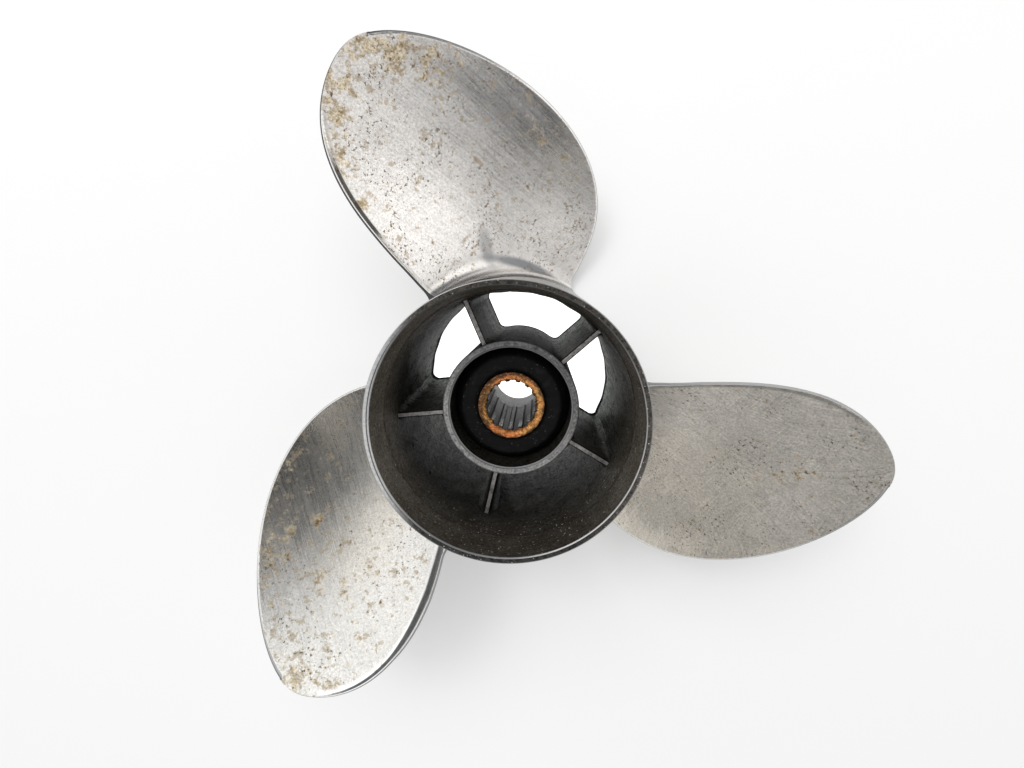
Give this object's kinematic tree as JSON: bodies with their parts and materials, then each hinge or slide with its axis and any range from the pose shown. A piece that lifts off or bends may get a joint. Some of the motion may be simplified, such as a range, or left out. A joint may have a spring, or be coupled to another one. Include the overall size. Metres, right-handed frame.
{
  "type": "outboard motor propeller",
  "caption": "Raked three-bladed steel boat propeller with a through-hub exhaust barrel, ribbed inner hub, rubber bushing and rusted splined sleeve.",
  "frame": {"origin": "on the shaft axis, at the height of the centre of mass, 67.3 mm above the front face that the propeller stands on", "axes": "+Z points aft along the shaft, up as the propeller stands; +Y points away from the shaft through the root of the first blade, which is up in the picture; +X is to the right there"},
  "size_m": [0.2998, 0.2989, 0.151],
  "materials": {
    "barrel_steel": "satin outside, sooty inside",
    "hub_steel": "dull, stained",
    "rib_steel": "dull as cast",
    "bushing_rubber": "matt black",
    "sleeve_steel": "rusted end faces",
    "blade_steel": "brushed, pitted and rust stained"
  },
  "bodies": {
    "root": {"outer_barrel": "barrel_steel", "inner_hub": "hub_steel", "rib_1": "rib_steel", "rib_2": "rib_steel", "rib_3": "rib_steel", "rib_4": "rib_steel", "rib_5": "rib_steel", "rubber_bushing": "bushing_rubber", "splined_sleeve": "sleeve_steel", "blade_1": "blade_steel", "blade_2": "blade_steel", "blade_3": "blade_steel"}
  },
  "joints": []
}
